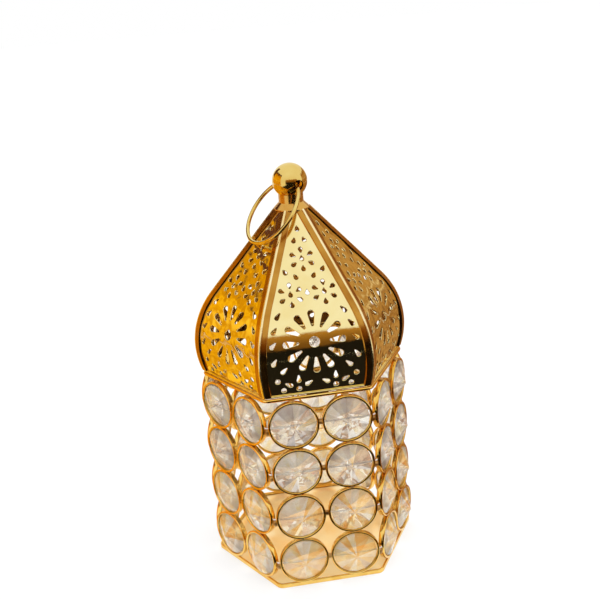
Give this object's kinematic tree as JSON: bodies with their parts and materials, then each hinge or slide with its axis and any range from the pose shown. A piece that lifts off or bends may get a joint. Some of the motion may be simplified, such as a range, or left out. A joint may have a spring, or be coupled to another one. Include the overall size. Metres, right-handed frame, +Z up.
{
  "type": "hanging lantern",
  "caption": "Hexagonal brass lantern with walls of crystal-filled rings, a hinged pierced dome, a ball finial and a hanging ring.",
  "frame": {"origin": "centre of the underside of the base tray, which rests on the ground", "axes": "+Z up to the ball and its hanging ring, -Y to the front face, +X to the right seen from the front"},
  "size_m": [0.0812, 0.0758, 0.154],
  "materials": {
    "tray_brass": "polished gold brass",
    "ring_brass": "polished gold brass",
    "dome_brass": "polished gold brass",
    "rib_brass": "satin brown-gold brass",
    "ball_brass": "polished pale gold brass",
    "crystal_glass": "clear faceted crystal",
    "tinned_wire": "bright tinned wire",
    "braze": "rough braze and solder"
  },
  "bodies": {
    "lantern_body": {"base_tray": "tray_brass", "ring_panel_1": "ring_brass", "ring_panel_2": "ring_brass", "ring_panel_3": "ring_brass", "ring_panel_4": "ring_brass", "ring_panel_5": "ring_brass", "ring_panel_6": "ring_brass", "crystals_1": "crystal_glass", "crystals_2": "crystal_glass", "crystals_3": "crystal_glass", "crystals_4": "crystal_glass", "crystals_5": "crystal_glass", "crystals_6": "crystal_glass", "string_wire_1": "tinned_wire", "string_wire_2": "tinned_wire", "string_wire_3": "tinned_wire", "string_wire_4": "tinned_wire", "corner_solder": "braze", "top_rim": "ring_brass", "hinge_leaf_body": "rib_brass", "hinge_pin": "tinned_wire"},
    "dome": {"dome_panel_1": "dome_brass", "dome_panel_2": "dome_brass", "dome_panel_3": "dome_brass", "dome_panel_4": "dome_brass", "dome_panel_5": "dome_brass", "dome_panel_6": "dome_brass", "dome_rib_1": "rib_brass", "dome_rib_2": "rib_brass", "dome_rib_3": "rib_brass", "dome_rib_4": "rib_brass", "dome_rib_5": "rib_brass", "dome_rib_6": "rib_brass", "dome_hem": "dome_brass", "crown_collar": "dome_brass", "ball_finial": "ball_brass", "hinge_leaf_dome": "rib_brass", "catch_tongue": "rib_brass"},
    "ring": {"hanging_ring": "ball_brass"}
  },
  "joints": [
    {"name": "dome_hinge", "type": "hinge", "parent": "lantern_body", "child": "dome", "pos_m": [0, 0.03525, 0.07775], "axis": [-1, 0, 0], "range_deg": [0, 105]},
    {"name": "ring_swing", "type": "hinge", "parent": "dome", "child": "ring", "pos_m": [0, 0, 0.14652], "axis": [-0.3584, 0.9336, 0], "range_deg": [0, 278]}
  ]
}
